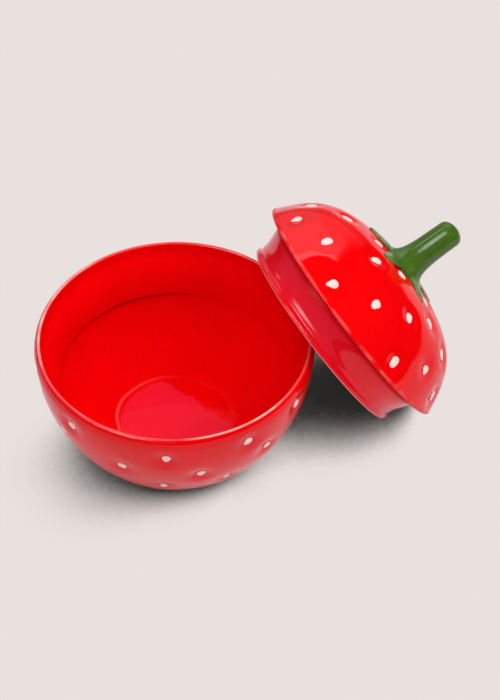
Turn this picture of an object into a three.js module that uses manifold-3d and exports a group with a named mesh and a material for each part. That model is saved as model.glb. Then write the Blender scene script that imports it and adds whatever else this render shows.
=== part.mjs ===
// Strawberry jar: a glazed bowl and its lift-off lid, which stands tilted on its edge beside the bowl.
// Millimetres, +Z up. The origin is the centre of the bowl's flat foot, and +X points towards the lid.
import * as THREE from 'three';
import { mergeVertices } from 'three/addons/utils/BufferGeometryUtils.js';
import Module from 'manifold-3d';

const wasm = await Module();
wasm.setup();

// Bowl
const BOWL_HEIGHT = 65;
const BOWL_RADIUS = 68;
const BOWL_WALL = 3.5;
const BOWL_FLOOR = 5.5;
const FOOT_RADIUS = 39;
const FLOOR_RADIUS = 29.5;

// Ledge inside the bowl's mouth, where the lid's shoulder sits
const SEAT_DEPTH = 9;
const LEDGE_RADIUS = 56;
const LEDGE_DROP = 17;
const LEDGE_BACK = 3;

// Lid: a dome on a tapered collar with a rolled lip
const DOME_CLEARANCE = 1.5;
const DOME_HEIGHT = 35;
const DOME_LEAN = 7.4;
const DOME_RISE = 15.4;
const DOME_CROWN = 52;
const LID_WALL = 4;
const EDGE_ROUND = 1.5;
const COLLAR_CLEARANCE = 1.5;
const COLLAR_DEPTH = 18.4;
const COLLAR_TAPER = 3.6;
const LIP_BEAD = 1;
const SHOULDER_FILLET = 1.2;

// Stem and its calyx, one moulding
const STEM_LENGTH = 31;
const STEM_RADIUS = 6.9;
const STEM_TIP_RADIUS = 6.6;
const STEM_TIP_ROUND = 3;
const STEM_BEND = 0.9;
const STEM_ASIDE = { x: -1.2, y: 1.2 };
const FLARE_HEIGHT = 10;
const FLARE_RADIUS = 13;
const FLARE_PULL = 3.3;
const LEAF_COUNT = 5;
const LEAF_LENGTH = 25.5;
const LEAF_ROOT = 10.5;
const LEAF_BELLY = 15;
const LEAF_BELLY_ANGLE = 14;
const LEAF_THICKNESS = 1.2;
const LEAF_TURN = 125;

// Seeds, each half sunk in a shallow round hollow
const DENT_DEPTH = 1.2;
const DENT_CURVE = 32;
const SEED_RISE = 1.3;
const SEED_TAPER = 0.3;
const BOWL_SEED = { length: 5.4, width: 4.6 };
const LID_SEED = { length: 6.4, width: 4.8 };
// Seeds of the bowl, row by row: depth below the rim, and turn in degrees
const BOWL_SEEDS = [
  [12.5, 26], [12, 62], [13, 98], [12.5, 134], [12, 168],
  [12, 201], [13.3, 244.5], [12, 279.5], [12.4, 309], [12.5, 348],
  [28, 8], [29, 44], [27, 80], [28.5, 116], [27.5, 152],
  [28, 190], [26.5, 225], [29, 259.5], [26.5, 291.5], [28.5, 330],
  [45, 14], [44, 59], [46, 104], [45, 149], [44.5, 196], [44.5, 242], [42, 273], [44.5, 322],
];
// Seeds of the lid, row by row: distance up the dome from its edge, and turn in degrees
const LID_SEEDS = [
  [9, 25.5], [8.5, 70.5], [9.5, 115.5], [9.5, 157.5], [8, 204], [7.8, 252], [9, 296], [8.5, 340.5],
  [19, 2], [18.5, 47], [19.5, 92], [18.5, 137], [17.9, 180.5], [20, 224.5], [17.4, 274], [19, 318],
  [37, 30], [36, 87], [37, 147], [40.3, 199.5], [32, 246], [42.8, 274.5], [30, 294], [36, 340],
];
// Seeds between the leaves: distance from the crown, and turn in degrees
const LEAF_SEEDS = [[21.3, 158], [17.9, 222], [18.5, 298], [19, 12], [19, 86]];

// How the lid stands: gap to the floor, reach of the rim into its hollow, and offset to the side
const STAND_GAP = 0.3;
const RIM_REACH = 5.7;
const LID_ASIDE = -7;

// Gap between pieces that are fired together
const SEAT_GAP = 0.3;

// How far a cutting shape runs past what it cuts
const CUT_MARGIN = 5;

// Sides of the turned pieces, and steps along the curves of their profiles
const ROUND_STEPS = 48;
const STEM_STEPS = 24;
const SEED_STEPS = 8;
const WALL_STEPS = 10;
const BEND_STEPS = 6;
const EDGE_STEPS = 4;
const DENT_STEPS = 2;

const red = { color: 0xe3101c, roughness: 0.15, metalness: 0 };
const cream = { color: 0xf3dcd6, roughness: 0.3, metalness: 0 };
const green = { color: 0x3f6b22, roughness: 0.25, metalness: 0 };

const degrees = THREE.MathUtils.degToRad;
const at = (radius, height) => new THREE.Vector2(radius, height);

// Points of a cubic curve through its four control points
const sweep = (a, b, c, d, steps) => new THREE.CubicBezierCurve(a, b, c, d).getPoints(steps);

// Points of an elliptical arc, turning from one angle to another
const arc = (centre, across, along, from, to, steps) =>
  new THREE.EllipseCurve(centre.x, centre.y, across, along, from, to, to < from).getPoints(steps);

// A closed body turned from a profile of radii and heights
function revolve(profile, steps = ROUND_STEPS) {
  return new THREE.LatheGeometry(profile, steps).rotateX(Math.PI / 2);
}

// A geometry as a solid that can be joined and cut
function solidOf(geometry) {
  const bare = geometry.clone();
  bare.deleteAttribute('normal');
  bare.deleteAttribute('uv');
  const merged = mergeVertices(bare);
  const corners = merged.index.array;
  const triVerts = [];
  for (let i = 0; i < corners.length; i += 3) {
    const [a, b, c] = corners.subarray(i, i + 3);
    if (a !== b && b !== c && c !== a) triVerts.push(a, b, c);
  }
  return new wasm.Manifold(new wasm.Mesh({
    numProp: 3,
    vertProperties: new Float32Array(merged.attributes.position.array),
    triVerts: new Uint32Array(triVerts),
  }));
}

// A solid as a geometry that a mesh can show
function geometryOf(solid) {
  const { vertProperties, triVerts } = solid.getMesh();
  const geometry = new THREE.BufferGeometry();
  geometry.setAttribute('position', new THREE.BufferAttribute(vertProperties, 3));
  geometry.setIndex(new THREE.BufferAttribute(triVerts, 1));
  geometry.computeVertexNormals();
  return geometry;
}

function piece(name, geometry, look) {
  const mesh = new THREE.Mesh(geometry, new THREE.MeshStandardMaterial(look));
  mesh.name = name;
  return mesh;
}

// Bowl: outer belly and inner wall are quarter ellipses that start level with the rim's round
const rimHeight = BOWL_HEIGHT - BOWL_WALL / 2;
const mouthRadius = BOWL_RADIUS - BOWL_WALL;
const ellipseDepth = (radius, cutRadius, cutDepth) => cutDepth / Math.sqrt(1 - (cutRadius / radius) ** 2);
const bellyDepth = ellipseDepth(BOWL_RADIUS, FOOT_RADIUS, rimHeight);
const hollowDepth = ellipseDepth(mouthRadius, FLOOR_RADIUS, rimHeight - BOWL_FLOOR);

function bowlProfile() {
  const axis = at(0, rimHeight);
  const seat = BOWL_HEIGHT - SEAT_DEPTH;
  const nose = at(LEDGE_RADIUS, seat - LEDGE_DROP);
  const backHeight = nose.y - LEDGE_BACK;
  const backAngle = Math.asin((backHeight - rimHeight) / hollowDepth);
  const back = at(mouthRadius * Math.cos(backAngle), backHeight);
  const belly = arc(axis, BOWL_RADIUS, bellyDepth, -Math.asin(rimHeight / bellyDepth), 0, WALL_STEPS);
  const round = BOWL_WALL / 2;
  const rim = arc(at(BOWL_RADIUS - round, rimHeight), round, round, 0, Math.PI, EDGE_STEPS);
  const mouth = at(mouthRadius, rimHeight);
  const ledge = sweep(mouth, at(mouth.x, seat), at(nose.x, seat), nose, BEND_STEPS);
  const bend = (nose.y + back.y) / 2;
  const under = sweep(nose, at(nose.x, bend), at(back.x, bend), back, EDGE_STEPS);
  const floorAngle = Math.asin((BOWL_FLOOR - rimHeight) / hollowDepth);
  const hollow = arc(axis, mouthRadius, hollowDepth, backAngle, floorAngle, BEND_STEPS);
  const inside = [ledge, under, hollow].flatMap((points) => points.slice(1));
  return [at(0, 0), ...belly, ...rim.slice(1), ...inside, at(0, BOWL_FLOOR)];
}

// A place on the bowl's belly, as a point of the profile and the lean of its outward normal from +Z
function bellySpot(depth) {
  const angle = Math.asin((rimHeight - BOWL_HEIGHT + depth) / bellyDepth);
  const normal = at(Math.cos(angle) / BOWL_RADIUS, -Math.sin(angle) / bellyDepth);
  return {
    point: at(BOWL_RADIUS * Math.cos(angle), rimHeight - bellyDepth * Math.sin(angle)),
    lean: Math.atan2(normal.x, normal.y),
  };
}

// Lid: heights are from the underside of the dome's edge
const domeRadius = mouthRadius - DOME_CLEARANCE;
const collarRadius = LEDGE_RADIUS - COLLAR_CLEARANCE;
const waistRadius = collarRadius - COLLAR_TAPER;
const lipRadius = waistRadius + LIP_BEAD;
const edgeCentre = at(domeRadius - EDGE_ROUND, EDGE_ROUND);
const lipCentre = at(lipRadius - EDGE_ROUND, EDGE_ROUND - COLLAR_DEPTH);
const domeCurve = new THREE.CubicBezierCurve(
  at(domeRadius, EDGE_ROUND),
  at(domeRadius - DOME_LEAN, DOME_RISE),
  at(DOME_CROWN, DOME_HEIGHT),
  at(0, DOME_HEIGHT),
);

// A place on the dome, as a share of its curve from edge to crown
function domeSpot(share) {
  const tangent = domeCurve.getTangentAt(share);
  return { point: domeCurve.getPointAt(share), lean: Math.atan2(tangent.y, -tangent.x) };
}

// Points of a surface that lies off the dome by a distance, from edge to crown
function domeOffset(distance) {
  return Array.from({ length: WALL_STEPS + 1 }, (_, step) => {
    const { point, lean } = domeSpot(step / WALL_STEPS);
    return at(Math.max(point.x + distance * Math.sin(lean), 0), point.y + distance * Math.cos(lean));
  });
}

function lidProfile() {
  const collarInside = collarRadius - LID_WALL;
  const ceiling = domeOffset(-LID_WALL).filter((point) => point.y > LID_WALL);
  const lip = arc(lipCentre, EDGE_ROUND, EDGE_ROUND, -Math.PI, Math.PI / 3, EDGE_STEPS);
  const fillet = at(collarRadius + SHOULDER_FILLET, -SHOULDER_FILLET);
  const shoulder = arc(fillet, SHOULDER_FILLET, SHOULDER_FILLET, Math.PI, Math.PI / 2, EDGE_STEPS);
  const edge = arc(edgeCentre, EDGE_ROUND, EDGE_ROUND, -Math.PI / 2, 0, EDGE_STEPS);
  const dome = domeCurve.getSpacedPoints(WALL_STEPS);
  const waist = at(waistRadius, lipCentre.y + 2 * EDGE_ROUND);
  return [...ceiling.reverse(), at(collarInside, 0), ...lip, waist, ...shoulder, ...edge, ...dome.slice(1)];
}

// Stem: a turned flare cut to a star of leaves, hollowed by the dome that it sits on, then bent
function leafStar() {
  const polar = (radius, angle) => at(radius * Math.cos(angle), radius * Math.sin(angle));
  const turn = (2 * Math.PI) / LEAF_COUNT;
  const belly = degrees(LEAF_BELLY_ANGLE);
  const star = new THREE.Shape();
  star.moveTo(...polar(LEAF_ROOT, -turn / 2));
  for (let leaf = 0; leaf < LEAF_COUNT; leaf += 1) {
    const middle = leaf * turn;
    const tip = polar(LEAF_LENGTH, middle);
    const nextRoot = polar(LEAF_ROOT, middle + turn / 2);
    star.quadraticCurveTo(...polar(LEAF_BELLY, middle - belly), ...tip);
    star.quadraticCurveTo(...polar(LEAF_BELLY, middle + belly), ...nextRoot);
  }
  const depth = DOME_HEIGHT + STEM_LENGTH + CUT_MARGIN;
  return new THREE.ExtrudeGeometry(star, { depth, bevelEnabled: false, curveSegments: EDGE_STEPS });
}

function stemGeometry() {
  const tip = DOME_HEIGHT + STEM_LENGTH;
  const flareTop = DOME_HEIGHT + FLARE_HEIGHT;
  const leafTop = DOME_HEIGHT + LEAF_THICKNESS;
  const root = at(LEAF_LENGTH + LEAF_THICKNESS, edgeCentre.y);
  const flare = sweep(
    at(root.x, DOME_HEIGHT - LEAF_THICKNESS),
    at(FLARE_RADIUS, leafTop + LEAF_THICKNESS),
    at(STEM_RADIUS, DOME_HEIGHT + FLARE_PULL),
    at(STEM_RADIUS, flareTop),
    BEND_STEPS,
  );
  const endCentre = at(STEM_TIP_RADIUS - STEM_TIP_ROUND, tip - STEM_TIP_ROUND);
  const end = arc(endCentre, STEM_TIP_ROUND, STEM_TIP_ROUND, 0, Math.PI / 2, EDGE_STEPS);
  const half = at((STEM_RADIUS + STEM_TIP_RADIUS) / 2, (flareTop + tip) / 2);
  const blank = revolve([at(0, root.y), root, ...flare, half, ...end, at(0, tip)], STEM_STEPS);
  const dome = revolve([at(0, 0), at(domeRadius, 0), ...domeOffset(SEAT_GAP)], STEM_STEPS);
  const star = leafStar().rotateZ(degrees(LEAF_TURN));
  const moulding = solidOf(blank).intersect(solidOf(star)).translate([STEM_ASIDE.x, STEM_ASIDE.y, 0]);
  const geometry = geometryOf(moulding.subtract(solidOf(dome)));
  const position = geometry.attributes.position;
  for (let i = 0; i < position.count; i += 1) {
    const share = Math.max(position.getZ(i) - DOME_HEIGHT, 0) / STEM_LENGTH;
    position.setX(i, position.getX(i) + STEM_BEND * share ** 2);
  }
  geometry.computeVertexNormals();
  return geometry;
}

// Height of a seed's hollow above its lowest point, by distance from the middle
const hollowRise = (distance, radius) => radius - Math.sqrt(radius ** 2 - distance ** 2);

// Seed: half an egg whose point lies along +X, and whose base follows the hollow it sits in
function seedGeometry({ length, width }) {
  const egg = new THREE.SphereGeometry(1, SEED_STEPS, SEED_STEPS / 2).rotateX(Math.PI / 2);
  const position = egg.attributes.position;
  for (let i = 0; i < position.count; i += 1) {
    const x = (position.getX(i) * length) / 2;
    const y = (position.getY(i) * (1 - SEED_TAPER * position.getX(i)) * width) / 2;
    const base = SEAT_GAP - DENT_DEPTH + hollowRise(Math.hypot(x, y), DENT_CURVE - SEAT_GAP);
    position.setXYZ(i, x, y, base + Math.max(position.getZ(i), 0) * SEED_RISE);
  }
  egg.computeVertexNormals();
  return egg;
}

// The round hollow that a seed sits in, up to the plane where it would meet a flat wall
function hollowGeometry() {
  const spread = Math.acos(1 - DENT_DEPTH / DENT_CURVE);
  const centre = at(0, DENT_CURVE - DENT_DEPTH);
  const dish = arc(centre, DENT_CURVE, DENT_CURVE, spread - Math.PI / 2, -Math.PI / 2, DENT_STEPS);
  return revolve([at(0, -DENT_DEPTH), ...dish.reverse().slice(1), at(0, 0)], SEED_STEPS);
}

// Where each seed goes, as matrices, by its distance along the profile and its turn
function seedPlaces(seedSpots, spotOf) {
  return seedSpots.map(([distance, turn]) => {
    const { point, lean } = spotOf(distance);
    return new THREE.Matrix4()
      .makeRotationZ(degrees(turn))
      .multiply(new THREE.Matrix4().makeTranslation(point.x, 0, point.y))
      .multiply(new THREE.Matrix4().makeRotationY(lean));
  });
}

function dented(geometry, places) {
  const hollow = hollowGeometry();
  const cut = places.reduce(
    (solid, place) => solid.subtract(solidOf(hollow.clone().applyMatrix4(place))),
    solidOf(geometry),
  );
  return geometryOf(cut);
}

function seeds(prefix, geometry, places) {
  return places.map((place, index) => {
    const seed = piece(`${prefix}_seed_${String(index + 1).padStart(2, '0')}`, geometry, cream);
    seed.applyMatrix4(place);
    return seed;
  });
}

function makeBowl() {
  const places = seedPlaces(BOWL_SEEDS, bellySpot);
  const bowl = new THREE.Group();
  bowl.add(piece('bowl', dented(revolve(bowlProfile()), places), red));
  bowl.add(...seeds('bowl', seedGeometry(BOWL_SEED), places));
  return bowl;
}

function makeLid() {
  const domeLength = domeCurve.getLength();
  const leafSeeds = LEAF_SEEDS.map(([fromCrown, turn]) => [domeLength - fromCrown, turn]);
  const places = seedPlaces([...LID_SEEDS, ...leafSeeds], (up) => domeSpot(up / domeLength));
  const lid = new THREE.Group();
  lid.add(piece('lid', dented(revolve(lidProfile()), places), red));
  lid.add(piece('stem', stemGeometry(), green));
  lid.add(...seeds('lid', seedGeometry(LID_SEED), places));
  return lid;
}

// The lid stands on its dome's edge and its lip at once, with the bowl's rim just inside its hollow
function standLid(lid) {
  const rise = Math.atan2(edgeCentre.x - lipCentre.x, edgeCentre.y - lipCentre.y);
  const height = STAND_GAP + EDGE_ROUND + edgeCentre.x * Math.cos(rise) - edgeCentre.y * Math.sin(rise);
  const reach = (BOWL_HEIGHT - height) * Math.sin(rise) + COLLAR_DEPTH - RIM_REACH;
  lid.rotation.y = Math.PI / 2 - rise;
  lid.position.set(BOWL_RADIUS + reach / Math.cos(rise), LID_ASIDE, height);
}

const jar = new THREE.Group();
const lid = makeLid();
standLid(lid);
jar.add(makeBowl(), lid);

export default jar;
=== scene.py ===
"""Strawberry jar: a glazed bowl, its lid with a stem, and the seeds set in both, on a pale table."""

import math
import random

import bmesh
import bpy
from bpy.props import FloatProperty, FloatVectorProperty, IntProperty, PointerProperty
from mathutils import Matrix, Vector
from mathutils.kdtree import KDTree


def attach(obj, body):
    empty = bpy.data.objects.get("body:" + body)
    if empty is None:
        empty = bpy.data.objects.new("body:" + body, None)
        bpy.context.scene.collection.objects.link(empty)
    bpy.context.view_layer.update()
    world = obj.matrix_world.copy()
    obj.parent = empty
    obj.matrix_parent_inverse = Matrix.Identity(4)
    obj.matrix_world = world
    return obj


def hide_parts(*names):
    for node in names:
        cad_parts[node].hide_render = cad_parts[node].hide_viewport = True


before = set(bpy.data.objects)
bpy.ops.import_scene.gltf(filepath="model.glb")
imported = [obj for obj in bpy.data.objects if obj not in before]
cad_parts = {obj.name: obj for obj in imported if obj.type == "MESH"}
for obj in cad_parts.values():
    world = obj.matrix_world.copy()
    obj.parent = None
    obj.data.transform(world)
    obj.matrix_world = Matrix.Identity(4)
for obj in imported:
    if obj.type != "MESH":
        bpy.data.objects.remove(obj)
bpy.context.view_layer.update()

bl_info = {
    "name": "Strawberry Jar",
    "version": (1, 0, 0),
    "blender": (4, 5, 0),
    "location": "View3D > Sidebar > Jar",
    "description": "Models a glazed strawberry jar with its lid off, and a table to show it on",
    "category": "Add Mesh",
}

MM = 0.001
DEGREES = 180 / math.pi
# A vertex this near a line counts as on it
TOUCH = 0.01 * MM
# Place of the rim's highest line in the thickness of the wall, from outside
RIDGE = 0.68
# Middle of the standing pair, on the table
MIDDLE = Vector((0.035, 0, 0))
# The view: its place, the way it looks over the table, how far down, and its focal length in picture heights
VIEW_PLACE = (-0.3531, -0.9342, 1.1127)
VIEW_WAY = (0.3875, 0.9219)
VIEW_DOWN = math.radians(46.62)
VIEW_FOCAL = 3000 / 700
SENSOR = 36
# Lamps: name, turn from the back and height in degrees, distance and width in metres, and power
LAMPS = (
    ("overhead", 20, 70, 1.3, 1.5, 10),
    ("key", 125, 50, 1.2, 0.9, 7),
    ("left fill", -125, 45, 1.6, 1, 7),
    ("front fill", 180, 45, 1.5, 1, 2.4),
)
# Sides of the room that light the table: how near the jar hides one, the way to it, and its share of the light
SIDES = ((0.143, (-0.9, -0.25, 0.34), 0.33), (0.098, (0.96, 0.26, 0.06), 0.67))
# Share of that light where the jar's shadow starts, and where it is full
SHADOW = (0.757, 0.592)
# Glaze bead round the floor: out and up in millimetres from the floor's edge, and share of the bead's height
BEAD = (
    (1.45, 0.75, 0), (1.05, 0.54, 0), (0.75, 0.3, 0.5), (0.35, 0.15, 1),
    (-0.1, 0, 1), (-0.45, 0, 0.35), (-0.75, 0, 0), (-1.2, 0, 0),
)


def length(name, text, millimetres):
    return FloatProperty(name=name, description=text, default=millimetres * MM, unit="LENGTH", precision=5)


def colour(name, text, value):
    return FloatVectorProperty(name=name, description=text, default=value, subtype="COLOR", min=0, max=1)


class BowlSizes(bpy.types.PropertyGroup):
    height: length("Height", "From the table to the top of the rim", 65)
    radius: length("Radius", "Widest outer radius, at the rim", 68)
    wall: length("Wall", "Thickness of the wall at the rim", 3.5)
    floor: length("Floor", "Thickness of the floor", 5.5)
    foot_radius: length("Foot radius", "Radius of the flat foot", 39)
    floor_radius: length("Floor radius", "Radius of the flat floor inside", 29.5)
    seat_depth: length("Seat depth", "Depth of the lid's seat below the rim", 9)
    ledge_radius: length("Ledge radius", "Inner radius of the ledge under the seat", 56)
    ledge_drop: length("Ledge drop", "From the seat down to the ledge's nose", 17)
    ledge_back: length("Ledge back", "From the ledge's nose down to the wall", 3)
    foot_round: length("Foot round", "Round where the belly meets the foot", 1)
    crease: length("Crease", "Height of the glaze bead round the floor", 0.4)
    shoulder: length("Shoulder", "Height of the round outside the rim", 5.5)
    sides: IntProperty(name="Sides", description="Sides of the turned bowl", default=224, min=12)


class LidSizes(bpy.types.PropertyGroup):
    dome_radius: length("Dome radius", "Radius of the dome's edge", 63)
    dome_height: length("Dome height", "From the underside of the dome's edge to the crown", 35)
    dome_lean: length("Dome lean", "How far the dome leans in above its edge", 7.4)
    dome_rise: length("Dome rise", "How far up that lean is set", 15.4)
    dome_crown: length("Dome crown", "Spread of the flat crown", 52)
    wall: length("Wall", "Thickness of the wall", 4)
    edge_round: length("Edge round", "Round of the dome's edge and of the lip", 1.5)
    collar_radius: length("Collar radius", "Outer radius of the collar under the shoulder", 54.5)
    collar_depth: length("Collar depth", "From the shoulder down to the lip", 18.4)
    collar_taper: length("Collar taper", "How far the collar draws in above its lip", 3.6)
    lip_bead: length("Lip bead", "How far the lip stands out from the collar", 1)
    shoulder: length("Shoulder", "Fillet between the collar and the dome", 1.2)
    stand_gap: length("Stand gap", "Gap between the standing lid and the table", 0.3)
    reach: length("Reach", "How far the bowl's rim reaches into the standing lid", 5.7)
    aside: length("Aside", "How far the standing lid is set to the side", -7)
    sides: IntProperty(name="Sides", description="Sides of the turned lid", default=224, min=12)


class StemSizes(bpy.types.PropertyGroup):
    length: length("Length", "From the crown to the stem's end", 31.9)
    radius: length("Radius", "Radius of the stem above its flare", 7.1)
    tip_radius: length("End radius", "Radius of the stem's end", 6.85)
    tip_round: length("End round", "Round of the stem's end", 4.6)
    bend: length("Bend", "How far the end is bent to the side", 0.9)
    aside: FloatVectorProperty(
        name="Aside",
        description="Offset of the moulding from the crown",
        default=(-1.2 * MM, 1.2 * MM, 0),
        subtype="TRANSLATION",
    )
    flare_height: length("Flare height", "Height of the flare", 17)
    flare_radius: length("Flare radius", "Radius of the flare's foot", 13)
    leaf_length: length("Leaf length", "From the stem's axis to a leaf's tip", 25.5)
    leaf_width: length("Leaf width", "Widest part of a leaf", 13.5)
    leaf_thickness: length("Leaf thickness", "Height of a leaf along its rib", 2)
    leaf_turn: FloatProperty(
        name="Leaf turn", description="Turn of the first leaf", default=math.radians(125), subtype="ANGLE"
    )
    leaves: IntProperty(name="Leaves", description="Number of leaves", default=5, min=3)
    grain: length("Grain", "Finest detail of the moulding", 0.25)


class SeedSizes(bpy.types.PropertyGroup):
    bowl_length: length("Bowl seed length", "Length of a seed on the bowl", 5.6)
    bowl_width: length("Bowl seed width", "Width of a seed on the bowl", 4.8)
    lid_length: length("Lid seed length", "Length of a seed on the lid", 6.7)
    lid_width: length("Lid seed width", "Width of a seed on the lid", 5)
    rise: length("Rise", "Half the thickness of a seed", 0.9)
    taper: FloatProperty(name="Taper", description="How far a seed narrows to its point", default=0.4, min=0, max=1)
    dent_depth: length("Dent depth", "Depth of the hollow round a seed", 1.45)
    dent_reach: length("Dent reach", "Radius of that hollow", 9.2)


class GlazeColours(bpy.types.PropertyGroup):
    red: colour("Red", "Red glaze", (0.82, 0.0005, 0.0016))
    red_deep: colour("Deep red", "Red glaze where it has run thick", (0.73, 0.0004, 0.002))
    # Dark red of glaze pooled in a crease, and painted shade under the bowl's ledge and in the lid's crease
    red_pool_and_shade: colour("Pooled red", "Red glaze gathered in a crease", (0.26, 0.0003, 0.001))
    # Painted reflection: a rosy tint that stands in for the room's reflection in the glaze
    painted_reflection_tint: colour("Rose", "Clear glaze that has settled over the red", (0.85, 0.25, 0.75))
    # Pale red of glaze drawn thin on edges, and painted highlights on the rim, the floor's bead and the lid's lip
    # and edge
    thin_red_and_highlight: colour("Thin red", "Red glaze drawn thin on an edge", (0.88, 0.46, 0.42))
    speck: colour("Speck", "Dark specks in the red glaze", (0.3, 0.002, 0.004))
    cream: colour("Cream", "Seeds", (0.9, 0.69, 0.65))
    blush: colour("Blush", "Seeds where the red shows through", (0.86, 0.46, 0.42))
    seed_rim: colour("Seed rim", "Seeds where the red laps over their edge", (0.93, 0.24, 0.21))
    fleck: colour("Fleck", "Flecks in the seeds", (0.8, 0.55, 0.5))
    green: colour("Green", "Stem and leaves", (0.054, 0.132, 0.011))
    green_thin: colour("Thin green", "Green glaze drawn thin on an edge", (0.26, 0.37, 0.12))
    clay: colour("Clay", "Bare clay of the foot", (0.78, 0.71, 0.64))
    table: colour("Table", "Table and backdrop as they are seen", (0.815, 0.753, 0.723))
    table_lit: colour("Lit table", "Table round the jar", (0.715, 0.66, 0.634))
    table_near: colour("Near table", "Table round the jar as the glaze reflects it", (0.8, 0.72, 0.755))
    table_far: colour("Far table", "Table far from the jar as the glaze reflects it", (0.02, 0.02, 0.02))
    table_shade: colour("Shaded table", "Table close under the jar", (0.02, 0.019, 0.018))


# Seeds of the bowl: depth below the rim in millimetres, and turn in degrees
BOWL_SEEDS = (
    (12.5, 26), (12, 62), (13, 98), (12.5, 134), (12, 168),
    (12, 201), (13.3, 244.5), (12, 279.5), (12.4, 309), (12.5, 348),
    (28, 8), (29, 44), (27, 80), (28.5, 116), (27.5, 152),
    (28, 190), (26.5, 225), (29, 259.5), (26.5, 291.5), (28.5, 330),
    (45, 14), (44, 59), (46, 104), (45, 149), (44.5, 196), (44.5, 242), (42, 273), (44.5, 322),
)
# Seeds of the lid: distance up the dome from its edge, and turn
LID_SEEDS = (
    (9, 25.5), (8.5, 70.5), (9.5, 115.5), (9.5, 157.5), (8, 204), (7.8, 252), (9, 296), (8.5, 340.5),
    (19, 2), (18.5, 47), (19.5, 92), (18.5, 137), (17.9, 180.5), (20, 224.5), (17.4, 274), (19, 318),
    (37, 30), (36, 87), (37, 147), (40.3, 199.5), (32, 246), (42.8, 274.5), (30, 294), (36, 340),
)
# Seeds between the leaves: distance from the crown, and turn
LEAF_SEEDS = ((21.3, 158), (17.9, 222), (18.5, 298), (19, 12), (19, 86))


# Outlines

def at(radius, height):
    return Vector((radius, height))


def cubic(a, b, c, d, steps):
    points = []
    for step in range(steps + 1):
        t = step / steps
        points.append(a * (1 - t) ** 3 + b * 3 * t * (1 - t) ** 2 + c * 3 * t * t * (1 - t) + d * t ** 3)
    return points


def arc(centre, across, along, start, end, steps):
    turns = [start + (end - start) * step / steps for step in range(steps + 1)]
    return [at(centre.x + across * math.cos(turn), centre.y + along * math.sin(turn)) for turn in turns]


def ellipse_depth(radius, cut_radius, cut_depth):
    return cut_depth / math.sqrt(1 - (cut_radius / radius) ** 2)


def bowl_outline(bowl):
    """From the middle of the foot up the belly, over the rim and down to the middle of the floor."""
    rim_height = bowl.height - bowl.wall / 2
    mouth = at(bowl.radius - bowl.wall, rim_height)
    axis = at(0, rim_height)
    belly_depth = ellipse_depth(bowl.radius, bowl.foot_radius, rim_height)
    hollow_depth = ellipse_depth(mouth.x, bowl.floor_radius, rim_height - bowl.floor)
    foot_angle = -math.asin((rim_height - bowl.foot_round) / belly_depth)
    shoulder_foot = bowl.height - bowl.shoulder
    shoulder_angle = -math.asin((rim_height - shoulder_foot) / belly_depth)
    belly = arc(axis, bowl.radius, belly_depth, foot_angle, shoulder_angle, 42)
    foot_edge = at(bowl.foot_radius, 0)
    foot = cubic(at(bowl.foot_radius - 2 * bowl.foot_round, 0), foot_edge, foot_edge, belly[0], 6)
    base = [at(foot[0].x * share / 8, 0) for share in range(8)]
    ridge = rim_ridge(bowl)
    rim = arc(at(ridge, shoulder_foot), belly[-1].x - ridge, bowl.shoulder, 0, math.pi / 2, 11)
    rim += arc(at(ridge, rim_height), ridge - mouth.x, bowl.wall / 2, math.pi / 2, math.pi, 7)[1:]
    seat = bowl.height - bowl.seat_depth
    nose = at(bowl.ledge_radius, seat - bowl.ledge_drop)
    back_height = nose.y - bowl.ledge_back
    back_angle = math.asin((back_height - rim_height) / hollow_depth)
    back = at(mouth.x * math.cos(back_angle), back_height)
    ledge = cubic(mouth, at(mouth.x, seat), at(nose.x, seat), nose, 14)
    bend = (nose.y + back.y) / 2
    under = cubic(nose, at(nose.x, bend), at(back.x, bend), back, 8)
    floor_angle = math.asin((bowl.floor - rim_height) / hollow_depth)
    hollow = arc(axis, mouth.x, hollow_depth, back_angle, floor_angle, 28)
    edge = hollow.pop()
    hollow.pop()
    bead = [edge + at(out * MM, up * MM + bowl.crease * share) for out, up, share in BEAD]
    disc = [at(bead[-1].x * (1 - share / 10), bowl.floor) for share in range(1, 11)]
    inside = ledge[1:] + under[1:] + hollow[1:] + bead + disc
    return base + foot + belly[1:] + rim[1:] + inside


def rim_ridge(bowl):
    """Radius of the rim's highest line, which lies nearer its inner edge."""
    return bowl.radius - bowl.wall * RIDGE


def belly_spot(bowl, depth):
    rim_height = bowl.height - bowl.wall / 2
    belly_depth = ellipse_depth(bowl.radius, bowl.foot_radius, rim_height)
    angle = math.asin((rim_height - bowl.height + depth) / belly_depth)
    point = at(bowl.radius * math.cos(angle), rim_height - belly_depth * math.sin(angle))
    return point, math.atan2(math.cos(angle) / bowl.radius, -math.sin(angle) / belly_depth)


def dome_curve(lid, steps=400):
    return cubic(
        at(lid.dome_radius, lid.edge_round),
        at(lid.dome_radius - lid.dome_lean, lid.dome_rise),
        at(lid.dome_crown, lid.dome_height),
        at(0, lid.dome_height),
        steps,
    )


def dome_spot(lid, distance):
    """A place on the dome by its distance up from the edge, as a point and the lean of its normal."""
    points = dome_curve(lid)
    for here, there in zip(points, points[1:]):
        step = there - here
        if distance <= step.length:
            return here + step * (distance / step.length), math.atan2(step.y, -step.x)
        distance -= step.length
    return points[-1], 0.0


def dome_length(lid):
    points = dome_curve(lid)
    return sum((there - here).length for here, there in zip(points, points[1:]))


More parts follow.
